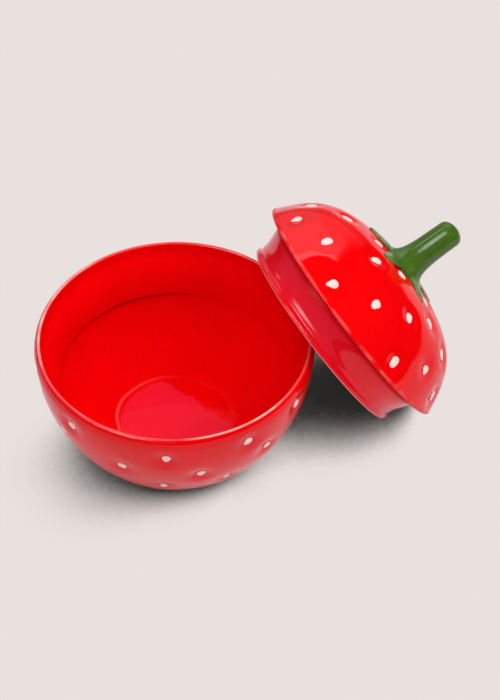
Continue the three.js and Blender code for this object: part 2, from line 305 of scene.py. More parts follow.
def lid_outline(lid):
    """From the middle of the ceiling down inside, round the lip and up the collar and the dome."""
    total, steps = dome_length(lid), 52
    spots = [dome_spot(lid, total * step / steps) for step in range(steps + 1)]
    dome = [point for point, lean in spots]
    ceiling = [at(p.x - lid.wall * math.sin(lean), p.y - lid.wall * math.cos(lean)) for p, lean in spots]
    ceiling[-1] = at(0, lid.dome_height - lid.wall)
    ceiling = [point for point in reversed(ceiling) if point.y > lid.wall * 1.6]
    edge_centre, lip_centre = lid_centres(lid)
    waist = lid.collar_radius - lid.collar_taper
    inside = at(lid.collar_radius - lid.wall, 0)
    throat = cubic(ceiling[-1], at(ceiling[-1].x, lid.wall), at(inside.x, lid.wall), inside, 8)
    lip = arc(lip_centre, lid.edge_round, lid.edge_round, -math.pi, math.pi / 3, 12)
    wall_in = cubic(inside, at(inside.x, -lid.collar_depth / 3), at(lip[0].x, -lid.collar_depth / 2), lip[0], 10)
    fillet = at(lid.collar_radius + lid.shoulder, -lid.shoulder)
    shoulder = arc(fillet, lid.shoulder, lid.shoulder, math.pi, math.pi / 2, 6)
    dip = at(waist + 0.4 * MM, lip_centre.y + 4.6 * MM)
    flare = cubic(lip[-1], lip[-1] + at(-0.6 * MM, 1 * MM), dip - at(0.1 * MM, 2.2 * MM), dip, 9)
    high = shoulder[0]
    collar = flare + cubic(dip, dip + at(0.3 * MM, 2.4 * MM), high - at(0.5 * MM, 4 * MM), high, 9)[1:]
    edge = arc(edge_centre, lid.edge_round, lid.edge_round, -math.pi / 2, 0, 8)
    return ceiling + throat[1:] + wall_in[1:] + lip[1:] + collar[1:] + shoulder[1:] + edge + dome[1:]


def lid_centres(lid):
    lip_radius = lid.collar_radius - lid.collar_taper + lid.lip_bead
    edge = at(lid.dome_radius - lid.edge_round, lid.edge_round)
    return edge, at(lip_radius - lid.edge_round, lid.edge_round - lid.collar_depth)


def lid_place(bowl, lid):
    """Where the lid stands, on its dome's edge and its lip at once."""
    edge, lip = lid_centres(lid)
    rise = math.atan2(edge.x - lip.x, edge.y - lip.y)
    height = lid.stand_gap + lid.edge_round + edge.x * math.cos(rise) - edge.y * math.sin(rise)
    reach = (bowl.height - height) * math.sin(rise) + lid.collar_depth - lid.reach
    spot = Vector((bowl.radius + reach / math.cos(rise), lid.aside, height))
    return Matrix.Translation(spot) @ Matrix.Rotation(math.pi / 2 - rise, 4, "Y")


def seed_place(turn, point, lean):
    """The frame of a seed: Z out of the wall, X down it."""
    spot = Matrix.Translation((point.x, 0, point.y)) @ Matrix.Rotation(lean, 4, "Y")
    return Matrix.Rotation(math.radians(turn), 4, "Z") @ spot


def bowl_seed_places(bowl):
    return [seed_place(turn, *belly_spot(bowl, depth * MM)) for depth, turn in BOWL_SEEDS]


def lid_seed_places(lid):
    total = dome_length(lid)
    spots = [(up * MM, turn) for up, turn in LID_SEEDS]
    spots += [(total - from_crown * MM, turn) for from_crown, turn in LEAF_SEEDS]
    return [seed_place(turn, *dome_spot(lid, up)) for up, turn in spots]


# Modelling by hand

def fresh(name, add, **settings):
    """A new primitive by its operator, alone in the selection."""
    bpy.ops.object.select_all(action="DESELECT")
    add(**settings)
    piece = bpy.context.object
    piece.name = piece.data.name = name
    return piece


def only(piece):
    """Selects one piece and nothing else."""
    bpy.ops.object.select_all(action="DESELECT")
    piece.select_set(True)
    bpy.context.view_layer.objects.active = piece


def copied(piece):
    only(piece)
    bpy.ops.object.duplicate()
    return bpy.context.object


def pick(piece, test):
    """Selects the vertices that pass a test, in edit mode."""
    bpy.ops.mesh.select_mode(type="VERT")
    bpy.ops.mesh.select_all(action="DESELECT")
    mesh = bmesh.from_edit_mesh(piece.data)
    picked = [vertex for vertex in mesh.verts if test(vertex.co)]
    if not picked:
        raise ValueError(f"nothing to pick on {piece.name}")
    for vertex in picked:
        vertex.select_set(True)
    mesh.select_flush_mode()
    bmesh.update_edit_mesh(piece.data)


def turned(name, outline, sides):
    """A closed body, spun about Z from an outline that starts and ends on the axis."""
    piece = fresh(name, bpy.ops.mesh.primitive_plane_add, size=MM)
    bpy.ops.object.mode_set(mode="EDIT")
    bpy.ops.mesh.select_all(action="SELECT")
    bpy.ops.mesh.merge(type="CENTER")
    bpy.ops.transform.translate(value=(outline[0].x, 0, outline[0].y))
    for here, there in zip(outline, outline[1:]):
        step = there - here
        bpy.ops.mesh.extrude_vertices_move(TRANSFORM_OT_translate={"value": (step.x, 0, step.y)})
    bpy.ops.mesh.select_all(action="SELECT")
    bpy.ops.mesh.spin(steps=sides, angle=math.tau, center=(0, 0, 0), axis=(0, 0, 1))
    bpy.ops.mesh.select_all(action="SELECT")
    bpy.ops.mesh.remove_doubles(threshold=0.002 * MM)
    bpy.ops.mesh.normals_make_consistent(inside=False)
    bpy.ops.object.mode_set(mode="OBJECT")
    return piece


def push(piece, spot, move, reach):
    """Moves the vertex nearest a spot, and its neighbours along the surface with it."""
    mesh = bmesh.from_edit_mesh(piece.data)
    mesh.verts.ensure_lookup_table()
    bpy.ops.mesh.select_all(action="DESELECT")
    mesh.verts[spot].select_set(True)
    mesh.select_flush_mode()
    bpy.ops.transform.translate(
        value=move,
        use_proportional_edit=True,
        use_proportional_connected=True,
        proportional_edit_falloff="SMOOTH",
        proportional_size=reach,
    )


def nearest_of(piece):
    """A finder of the vertex nearest a point, on the piece as it is now."""
    tree = KDTree(len(piece.data.vertices))
    for vertex in piece.data.vertices:
        tree.insert(vertex.co, vertex.index)
    tree.balance()
    return lambda point: tree.find(point)[1]


def press_dents(piece, places, depth, reach):
    """Presses a soft hollow into the wall under each seed."""
    nearest = nearest_of(piece)
    spots = [(nearest(place.translation), place.to_3x3() @ Vector((0, 0, -depth))) for place in places]
    bpy.ops.object.mode_set(mode="EDIT")
    bpy.ops.mesh.select_mode(type="VERT")
    for spot, move in spots:
        push(piece, spot, move, reach)
    bpy.ops.object.mode_set(mode="OBJECT")


def apply_all(piece):
    for modifier in [m.name for m in piece.modifiers]:
        bpy.ops.object.modifier_apply(modifier=modifier)


def settle(piece, place):
    """Puts a piece in its place for good, with the place in its mesh."""
    only(piece)
    piece.matrix_world = place
    bpy.ops.object.transform_apply(location=True, rotation=True, scale=True)


def finish_piece(piece, body, slot, material, *nodes):
    """Glazes a piece, hangs it under its body and hides the imported parts that it stands for. The slot is not used.
    """
    only(piece)
    bpy.ops.object.shade_smooth()
    piece.data.materials.clear()
    piece.data.materials.append(material)
    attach(piece, body)
    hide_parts(*nodes)


# Glazes

class Shade:
    """A socket of a material, so that sums on it add Math nodes."""

    def __init__(self, tree, socket=None):
        self.tree = tree
        self.socket = socket

    def node(self, kind, settings, values, out=0):
        made = self.tree.nodes.new(kind)
        for key, value in settings.items():
            setattr(made, key, value)
        for key, value in values.items():
            if isinstance(value, Shade):
                self.tree.links.new(value.socket, made.inputs[key])
            else:
                made.inputs[key].default_value = value
        return Shade(self.tree, made.outputs[out]) if made.outputs else made

    def sum(self, operation, first, second):
        return self.node("ShaderNodeMath", {"operation": operation}, {0: first, 1: second})

    def __add__(self, other):
        return self.sum("ADD", self, other)

    def __radd__(self, other):
        return self.sum("ADD", other, self)

    def __sub__(self, other):
        return self.sum("SUBTRACT", self, other)

    def __rsub__(self, other):
        return self.sum("SUBTRACT", other, self)

    def __mul__(self, other):
        return self.sum("MULTIPLY", self, other)

    def __rmul__(self, other):
        return self.sum("MULTIPLY", other, self)

    def size(self):
        return self.sum("ABSOLUTE", self, 0.0)

    def part(self, axis):
        return self.node("ShaderNodeSeparateXYZ", {}, {0: self}, axis)

    def ramp(self, low, high):
        """0 below low, 1 above high, smooth between; low may be the greater."""
        return self.node(
            "ShaderNodeMapRange",
            {"interpolation_type": "SMOOTHSTEP"},
            {"Value": self, "From Min": low, "From Max": high},
        )

    def between(self, start, full, fade, end):
        """0 up to start, 1 from full to fade, and 0 again from end."""
        return self.ramp(start, full) * self.ramp(end, fade)

    def toward(self, direction):
        """How far a place lies in a direction."""
        return self.node("ShaderNodeVectorMath", {"operation": "DOT_PRODUCT"}, {0: self, 1: direction}, "Value")

    def scaled(self, shares):
        return self.node("ShaderNodeVectorMath", {"operation": "MULTIPLY"}, {0: self, 1: shares})

    def turn(self):
        """Turn of a place or a direction from the back, in degrees."""
        return self.sum("ARCTAN2", self.part(0), self.part(1)) * DEGREES

    def is_ray(self, kind):
        return self.node("ShaderNodeLightPath", {}, {}, f"Is {kind} Ray")

    def noise(self, scale, detail=2.0, roughness=0.5):
        return self.node(
            "ShaderNodeTexNoise", {}, {"Vector": self, "Scale": scale, "Detail": detail, "Roughness": roughness}
        )

    def mix(self, first, second):
        """A colour between two, by this value."""
        first, second = (tuple(c) + (1,) if not isinstance(c, Shade) else c for c in (first, second))
        return self.node("ShaderNodeMix", {"data_type": "RGBA"}, {0: self, 6: first, 7: second}, 2)


def darker(tint, share):
    return tuple(part * share for part in tint)


def blank_material(name):
    material = bpy.data.materials.new(name)
    material.use_nodes = True
    material.node_tree.nodes.clear()
    return material, Shade(material.node_tree)


def coated(start, colour, roughness, coat, bumps, gloss=1.4, haze=0.035):
    """A gloss glaze: soft body colour under a clear hard coat, with a gently uneven surface."""
    normal = None
    for height, depth in bumps:
        values = {"Height": height, "Distance": depth, "Strength": 1.0}
        if normal:
            values["Normal"] = normal
        normal = start.node("ShaderNodeBump", {}, values)
    values = {"Base Color": colour, "Roughness": roughness, "Coat Weight": coat, "Normal": normal}
    values.update({"IOR": 1.4, "Specular IOR Level": 0.0, "Coat Roughness": haze, "Coat IOR": gloss})
    shader = start.node("ShaderNodeBsdfPrincipled", {}, values)
    start.node("ShaderNodeOutputMaterial", {}, {"Surface": shader})


def place_in(start, place):
    """Object coordinates, turned into the frame that a piece was modelled in."""
    coordinates = start.node("ShaderNodeTexCoord", {}, {}, "Object")
    if place is None:
        return coordinates
    back = place.inverted()
    return start.node(
        "ShaderNodeMapping",
        {"vector_type": "POINT"},
        {"Vector": coordinates, "Location": back.translation, "Rotation": back.to_euler()},
    )


def reach_of(spot):
    """Distance from the axis of a place in a piece's own frame."""
    return spot.node("ShaderNodeVectorMath", {"operation": "LENGTH"}, {0: spot.scaled((1, 1, 0))}, "Value")


def lobe(spot, turn, reach, spread):
    """1 round one side of a piece, by its turn in degrees, and 0 beyond the spread."""
    turn, edge, usual_reach = math.radians(turn), math.cos(math.radians(spread)), 45 * MM
    along = spot.toward((math.cos(turn), math.sin(turn), 0))
    return (along - reach * edge).ramp(0, (1 - edge) * usual_reach)


def red_glaze(name, colours, place, thin_and_highlight_on, pool_and_shade_on, painted_reflection_on, coat_on, bare_on=None):
    """Red glaze, by what says where it is thin or painted with highlights, where it is pooled or painted with shade,
    where a painted reflection tints it, and where it is coated and wiped bare.
    """
    material, start = blank_material(name)
    spot = place_in(start, place)
    reach, height = reach_of(spot), spot.part(2)
    cloud = spot.noise(28, 3).ramp(0.35, 0.7)
    mottle = spot.noise(190, 2).ramp(0.3, 0.75)
    body = (cloud * 0.6 + mottle * 0.25).mix(colours.red, colours.red_deep)
    # Painted shade in creases, over a little pooled glaze
    tint = pool_and_shade_on(spot, reach, height).mix(body, colours.red_pool_and_shade)
    # Painted reflection: a rosy tint
    tint = painted_reflection_on(spot, reach, height).mix(tint, colours.painted_reflection_tint)
    # Thin glaze, and painted highlights
    tint = thin_and_highlight_on(spot, reach, height).mix(tint, colours.thin_red_and_highlight)
    specks = spot.node("ShaderNodeTexVoronoi", {"feature": "F1"}, {"Vector": spot, "Scale": 95.0}, "Distance")
    tint = (specks.ramp(0.05, 0.03) * spot.noise(60).ramp(0.6, 0.66) * 0.6).mix(tint, colours.speck)
    roughness = 0.16 + spot.noise(75, 3) * 0.08
    coat = coat_on(reach, height)
    if bare_on:
        bare = bare_on(spot, reach, height)
        clay = spot.noise(900, 3).mix(colours.clay, darker(colours.clay, 0.86))
        tint = bare.mix(tint, clay)
        roughness = roughness + bare * (0.72 - roughness)
        coat = coat * (1 - bare)
    swell = spot.noise(38, 1.0, 0.4)
    peel = spot.noise(520, 2.0)
    coated(start, tint, roughness, coat, [(swell, 0.9 * MM), (peel, 0.02 * MM)])
    return material


def seed_glaze(colours):
    """Cream glaze, redder in a seed's middle and at its edge."""
    material, start = blank_material("seed glaze")
    spot = place_in(start, None)
    rise = start.node("ShaderNodeAttribute", {"attribute_name": "rise"}, {}, "Fac")
    cloud = spot.noise(260, 3).ramp(0.36, 0.74)
    rim = rise.ramp(0.5, 0.12)
    middle = rise.ramp(0.62, 0.98) * (0.2 + cloud * 0.4)
    tint = middle.mix(colours.cream, colours.blush)
    tint = (rim * (0.25 + cloud * 0.55)).mix(tint, colours.seed_rim)
    fleck = spot.noise(950, 2).ramp(0.62, 0.78)
    tint = (fleck * 0.2).mix(tint, colours.fleck)
    roughness = 0.24 + spot.noise(400, 2) * 0.12
    coated(start, tint, roughness, 0.7 + cloud * 0.2, [(spot.noise(420, 2), 0.16 * MM)])
    return material


def green_glaze(colours, place, crown):
    """Green glaze, streaked along the stem and thinner at the leaves' tips."""
    material, start = blank_material("green glaze")
    spot = place_in(start, place)
    reach, height = reach_of(spot), spot.part(2)
    streaks = spot.scaled((1, 1, 0.12)).noise(420, 3).ramp(0.35, 0.7)
    pool = spot.noise(70, 2).ramp(0.4, 0.7)
    tint = (streaks * 0.15 + pool * 0.35).mix(colours.green, darker(colours.green, 0.62))
    tips = reach.ramp(16 * MM, 25 * MM) * 0.2
    low = height.ramp(crown + 6 * MM, crown + 1 * MM) * spot.noise(130, 2).ramp(0.42, 0.62) * 0.2
    tint = (tips + low).mix(tint, colours.green_thin)
    roughness = 0.24 + spot.noise(160, 2) * 0.12
    bumps = [(spot.noise(110, 1), 0.6 * MM), (streaks, 0.02 * MM)]
    coated(start, tint, roughness, 0.75 + pool * 0.2, bumps, gloss=1.55, haze=0.12)
    return material


# Operators

class JAR_OT_bowl(bpy.types.Operator):
    """Turn the bowl, press the seeds' hollows into it and glaze it"""

    bl_idname = "jar.bowl"
    bl_label = "Bowl"

    def execute(self, context):
        sizes, seeds = context.scene.jar_bowl, context.scene.jar_seeds
        piece = turned("bowl_shell", bowl_outline(sizes), sizes.sides)
        press_dents(piece, bowl_seed_places(sizes), seeds.dent_depth, seeds.dent_reach)
        self.waver(piece, sizes)

        # Thin glaze all round the rim, with painted highlights on two sides of it and on one side of the floor's
        # bead
        def thin_and_highlight_on(spot, reach, height):
            top = (reach - rim_ridge(sizes)).size().ramp(0.9 * MM, 0.35 * MM)
            top = top * height.ramp(sizes.height - 0.7 * MM, sizes.height - 0.3 * MM)
            worn = spot.noise(120, 2).ramp(0.3, 0.7)
            # Painted highlights on two sides of the rim
            bright = lobe(spot, -84, reach, 26) + lobe(spot, 140, reach, 40)
            # Painted highlight along one side of the floor's bead
            bead = height.between(*(sizes.floor + up * MM for up in (0.2, 0.33, 0.5, 0.8)))
            bead = bead * self.inside(sizes, reach, height) * lobe(spot, 160, reach, 110)
            return top * (0.1 + worn * 0.1 + bright * (0.4 + worn * 0.35)) + bead * 0.14

        # Painted reflection: a rosy tint over most of the floor inside, but not along its right-hand edge
        def painted_reflection_on(spot, reach, height):
            floor = height.between(4 * MM, 5 * MM, sizes.floor + 0.2 * MM, sizes.floor + 0.6 * MM)
            shore = spot.toward((0.88, 0.47, 0)) + spot.noise(110, 2) * (7 * MM)
            return floor * reach.ramp(28.5 * MM, 27 * MM) * shore.ramp(20.5 * MM, 19.5 * MM) * 0.04

        # Painted shade under the ledge's nose, strongest at the back, over a faint line of pooled glaze all round
        def pool_and_shade_on(spot, reach, height):
            crease = sizes.height - sizes.seat_depth - sizes.ledge_drop - sizes.ledge_back * 0.55
            off = height - crease + (spot.noise(30, 1) - 0.5) * (1.2 * MM)
            line = off.size().ramp(2.6 * MM, 0.4 * MM) * self.inside(sizes, reach, height)
            return line * (0.08 + lobe(spot, 112, reach, 58) * 0.9)

        def bare_on(spot, reach, height):
            edge = reach + (spot.noise(90, 2) - 0.5) * (2 * MM)
            return edge.between(29.5 * MM, 30 * MM, 37 * MM, 37.4 * MM) * height.ramp(0.3 * MM, 0.2 * MM)

        def coat_on(reach, height):
            floor = height.ramp(sizes.floor + 1.3 * MM, sizes.floor + 0.5 * MM)
            return 0.88 - self.inside(sizes, reach, height) * (0.88 - floor * 0.12)

        colours = context.scene.jar_colours
        glaze = red_glaze("bowl glaze", colours, None, thin_and_highlight_on, pool_and_shade_on, painted_reflection_on, coat_on, bare_on)
        finish_piece(piece, "bowl", "red_glaze", glaze, "bowl")
        return {"FINISHED"}

    def inside(self, sizes, reach, height):
        """1 on the inner wall and the floor, 0 on the belly, the foot and the rim."""
        rim_height = sizes.height - sizes.wall / 2
        drop = (rim_height - height) * (1 / ellipse_depth(sizes.radius, sizes.foot_radius, rim_height))
        belly = reach.sum("SQRT", 1 - drop * drop, 0.0) * sizes.radius
        inner = (belly - reach).ramp(1.2 * MM, 2.2 * MM)
        return inner * height.between(2.5 * MM, 4 * MM, rim_height - 4 * MM, rim_height - 1 * MM)

    def waver(self, piece, sizes):
        """Lets the bead round the floor wander, as poured glaze does."""
        drift, count = random.Random(4), 9
        nearest = nearest_of(piece)
        bumps = []
        for step in range(count):
            turn = math.tau * (step + drift.uniform(-0.3, 0.3)) / count
            out = Vector((math.cos(turn), math.sin(turn), 0))
            spot = nearest(out * (sizes.floor_radius - 0.4 * MM) + Vector((0, 0, sizes.floor + sizes.crease)))
            bumps.append((spot, out * drift.uniform(-1.9, 1.2) * MM))
        bpy.ops.object.mode_set(mode="EDIT")
        for spot, move in bumps:
            push(piece, spot, move, 10 * MM)
        bpy.ops.object.mode_set(mode="OBJECT")


class JAR_OT_lid(bpy.types.Operator):
    """Turn the lid, press the seeds' hollows into it, stand it on its edge and glaze it"""

    bl_idname = "jar.lid"
    bl_label = "Lid"

    def execute(self, context):
        scene = context.scene
        sizes, seeds = scene.jar_lid, scene.jar_seeds
        piece = turned("lid_shell", lid_outline(sizes), sizes.sides)
        press_dents(piece, lid_seed_places(sizes), seeds.dent_depth, seeds.dent_reach)
        place = lid_place(scene.jar_bowl, sizes)
        settle(piece, place)

        # Thin glaze with painted highlights along the lip and the dome's edge
        def thin_and_highlight_on(spot, reach, height):
            lip = height.ramp(-sizes.collar_depth + 0.9 * MM, -sizes.collar_depth + 0.1 * MM)
            edge = reach.ramp(sizes.dome_radius - 0.7 * MM, sizes.dome_radius - 0.1 * MM)
            edge = edge * height.ramp(3.4 * MM, 1.6 * MM)
            return lip * 0.75 + edge * spot.noise(110, 2).ramp(0.35, 0.7) * 0.2

        # Painted reflection: a rosy tint over the collar
        def painted_reflection_on(spot, reach, height):
            return height.ramp(0, -2 * MM) * 0.017

        # Painted shade, with pooled glaze, in the corner between the collar and the dome's edge
        def pool_and_shade_on(spot, reach, height):
            return self.crease(sizes, reach, height) * 0.35

        def coat_on(reach, height):
            hollow = height.ramp(-4 * MM, 0) * reach.ramp(sizes.collar_radius - 1 * MM, sizes.collar_radius - 3 * MM)
            edge = reach.ramp(sizes.dome_radius - 1.8 * MM, sizes.dome_radius - 0.6 * MM)
            edge = edge * height.ramp(3 * MM, 1.7 * MM)
            return 1 - hollow * 0.3 - edge * 0.5 - self.crease(sizes, reach, height) * 0.9

        glaze = red_glaze("lid glaze", scene.jar_colours, place, thin_and_highlight_on, pool_and_shade_on, painted_reflection_on, coat_on)
        finish_piece(piece, "lid", "red_glaze", glaze, "lid")
        return {"FINISHED"}

    def crease(self, sizes, reach, height):
        """1 in the corner between the collar and the dome's edge."""
        outside = reach.ramp(sizes.collar_radius - 3.2 * MM, sizes.collar_radius - 2 * MM)
        return outside * height.between(-4.2 * MM, -1.4 * MM, 0, 0.6 * MM)


class JAR_OT_stem(bpy.types.Operator):
    """Model the stem with its leaves as one moulding on the lid's crown and glaze it"""

    bl_idname = "jar.stem"
    bl_label = "Stem and leaves"

    def execute(self, context):
        scene = context.scene
        sizes, lid = scene.jar_stem, scene.jar_lid
        stalk = self.stalk(sizes, lid)
        leaf = self.leaf(sizes, lid)
        leaves = [copied(leaf) for index in range(sizes.leaves)]
        for index, copy in enumerate(leaves):
            settle(copy, Matrix.Rotation(sizes.leaf_turn + math.tau * index / sizes.leaves, 4, "Z"))
        bpy.data.objects.remove(leaf)
        only(stalk)
        for copy in leaves:
            copy.select_set(True)
        bpy.ops.object.join()
        remesh = stalk.modifiers.new("moulding", "REMESH")
        remesh.mode, remesh.voxel_size = "VOXEL", sizes.grain
        soften = stalk.modifiers.new("soften", "SMOOTH")
        soften.factor, soften.iterations = 0.5, 12
        apply_all(stalk)
        place = lid_place(scene.jar_bowl, lid)
        settle(stalk, place @ Matrix.Translation(sizes.aside))
        glaze = green_glaze(scene.jar_colours, place, lid.dome_height)
        finish_piece(stalk, "lid", "green_glaze", glaze, "stem")
        return {"FINISHED"}

    def stalk(self, sizes, lid):
        """The stem itself, drawn up ring by ring from its flare."""
        crown = lid.dome_height
        tip = crown + sizes.length
        flare = cubic(
            at(sizes.flare_radius, crown + 0.6 * MM),
            at(sizes.flare_radius - 4 * MM, crown + 1.4 * MM),
            at(sizes.radius + 0.3 * MM, crown + 4.5 * MM),
            at(sizes.radius, crown + sizes.flare_height),
            10,
        )
        shaft = [flare[-1].lerp(at(sizes.tip_radius, tip - sizes.tip_round), share / 6) for share in range(1, 7)]
        cap = arc(at(0, tip - sizes.tip_round), sizes.tip_radius, sizes.tip_round, 0, math.pi * 0.47, 9)[1:]
        rings = [at(sizes.flare_radius, crown - 1.2 * MM)] + flare + shaft + cap
        bend = [sizes.bend * (max(ring.y - crown, 0) / sizes.length) ** 2 for ring in rings]
        piece = fresh(
            "stem_moulding",
            bpy.ops.mesh.primitive_circle_add,
            vertices=48,
            radius=rings[0].x,
            fill_type="NGON",
            location=(0, 0, rings[0].y),
        )
        bpy.ops.object.transform_apply(location=True, rotation=True, scale=True)
        bpy.ops.object.mode_set(mode="EDIT")
        bpy.ops.mesh.select_all(action="SELECT")
        for index in range(1, len(rings)):
            here, there = rings[index - 1], rings[index]
            side = bend[index] - bend[index - 1]
            bpy.ops.mesh.extrude_region_move(TRANSFORM_OT_translate={"value": (side, 0, there.y - here.y)})
            share = there.x / here.x
            bpy.ops.transform.resize(value=(share, share, 1), center_override=(bend[index], 0, there.y))
        bpy.ops.mesh.select_all(action="SELECT")
        bpy.ops.mesh.normals_make_consistent(inside=False)
        bpy.ops.object.mode_set(mode="OBJECT")
        return piece

    def leaf(self, sizes, lid):
        """One leaf along X: a block drawn to a point, ridged along its rib and laid on the dome."""
        start, steps, rows = sizes.radius * 0.3, 16, 8
        ridge, sunk = 0.13 * MM, 0.4 * MM
        span = sizes.leaf_length - start
        piece = fresh("leaf", bpy.ops.mesh.primitive_cube_add, size=1)
        piece.matrix_world = Matrix.Diagonal((span, sizes.leaf_width, sizes.leaf_thickness, 1))
        piece.location = (start + span / 2, 0, 0)
        bpy.ops.object.transform_apply(location=True, rotation=True, scale=True)
        bpy.ops.object.mode_set(mode="EDIT")
        bpy.ops.mesh.select_all(action="SELECT")
        bpy.ops.mesh.subdivide(number_cuts=steps - 1)
        columns = [start + span * index / steps for index in range(steps + 1)]
        for x in columns:
            share = (x - start) / span
            pick(piece, lambda co: abs(co.x - x) < TOUCH)
            value = (1, self.leaf_share(share), 1 - 0.35 * share * share)
            bpy.ops.transform.resize(value=value, center_override=(x, 0, -sizes.leaf_thickness / 2))
        for row in range(1, rows + 1):
            share = row / rows
            pick(piece, lambda co: co.z > 0 and self.off_rib(co, sizes, start, span) > 1 - share + 0.02)
            bpy.ops.transform.translate(value=(0, 0, -ridge * share))
        for x in columns:
            pick(piece, lambda co: abs(co.x - x) < TOUCH)
            bpy.ops.transform.translate(value=(0, 0, self.dome_at(lid, x) + sizes.leaf_thickness / 2 - sunk))
        bpy.ops.object.mode_set(mode="OBJECT")
        return piece

    def off_rib(self, co, sizes, start, span):
        return abs(co.y) / (self.leaf_share((co.x - start) / span) * sizes.leaf_width / 2)

    def leaf_share(self, share):
        """Width of a leaf along its length, as a share of its widest part."""
        return max(1 - share, 0) ** 0.6 * (0.58 + 0.8 * share) + 0.04

    def dome_at(self, lid, radius):
        """Height of the dome at a radius."""
        points = dome_curve(lid, 200)
        for here, there in zip(points, points[1:]):
            if there.x <= radius <= here.x:
                return here.y + (there.y - here.y) * (here.x - radius) / (here.x - there.x)
        raise ValueError("the leaf is longer than the dome")


class JAR_OT_seeds(bpy.types.Operator):
    """Model a seed for the bowl and one for the lid, and set a copy in each hollow"""

    bl_idname = "jar.seeds"
    bl_label = "Seeds"

    def execute(self, context):
        scene = context.scene
        sizes = scene.jar_seeds
        glaze = seed_glaze(scene.jar_colours)
        stand = lid_place(scene.jar_bowl, scene.jar_lid)
        lid_places = [stand @ place for place in lid_seed_places(scene.jar_lid)]
        self.sow("bowl", sizes.bowl_length, sizes.bowl_width, bowl_seed_places(scene.jar_bowl), sizes, glaze)
        self.sow("lid", sizes.lid_length, sizes.lid_width, lid_places, sizes, glaze)
        return {"FINISHED"}

    def sow(self, body, long, wide, places, sizes, glaze):
        seed = self.seed(long, wide, sizes)
        drift = random.Random(body)
        for index, place in enumerate(places, 1):
            copy = copied(seed)
            copy.name = copy.data.name = f"seed_on_{body}_{index:02d}"
            self.knead(copy, long, wide, drift)
            turn = Matrix.Rotation(drift.uniform(-0.45, 0.45), 4, "Z")
            shares = [drift.uniform(*ends) for ends in ((0.86, 1.02), (0.84, 1.04), (0.9, 1.05))]
            swell = Matrix.Diagonal((*shares, 1))
            settle(copy, place @ turn @ swell)
            finish_piece(copy, body, "seed_glaze", glaze, f"{body}_seed_{index:02d}")
        bpy.data.objects.remove(seed)

    def seed(self, long, wide, sizes):
        """A flat drop whose point lies along +X, sunk a little below the hollow it sits in."""
        low, base = 0.4 * MM - sizes.dent_depth, -sizes.dent_depth - 0.25 * MM
        piece = fresh("seed", bpy.ops.mesh.primitive_uv_sphere_add, segments=24, ring_count=16, radius=0.5)
        taper = piece.modifiers.new("point", "SIMPLE_DEFORM")
        taper.deform_method, taper.deform_axis, taper.factor = "TAPER", "X", -sizes.taper
        apply_all(piece)
        bpy.ops.object.mode_set(mode="EDIT")
        bpy.ops.mesh.select_all(action="SELECT")
        bpy.ops.transform.resize(value=(long, wide, 2 * sizes.rise), center_override=(0, 0, 0))
        bpy.ops.transform.translate(value=(0, 0, low))
        bpy.ops.mesh.bisect(plane_co=(0, 0, base), plane_no=(0, 0, 1), clear_inner=True, use_fill=True)
        bpy.ops.object.mode_set(mode="OBJECT")
        rise = piece.data.attributes.new("rise", "FLOAT", "POINT")
        rise.data.foreach_set("value", [(v.co.z - low) / sizes.rise for v in piece.data.vertices])
        return piece

    def knead(self, piece, long, wide, drift):
        """Pushes a seed's outline a little out of true, as a dab of glaze dries."""
        nearest, count = nearest_of(piece), 5
        moves = []
        for step in range(count):
            turn = math.tau * (step + drift.uniform(-0.4, 0.4)) / count
            spot = Vector((math.cos(turn) * long / 2, math.sin(turn) * wide / 2, -1.2 * MM))
            out = Vector((math.cos(turn), math.sin(turn), 0)) * drift.uniform(-0.65, 0.3) * MM
            moves.append((nearest(spot), out))
        bpy.ops.object.mode_set(mode="EDIT")
        bpy.ops.mesh.select_mode(type="VERT")
        for spot, move in moves:
            push(piece, spot, move, wide * 0.7)
        bpy.ops.object.mode_set(mode="OBJECT")


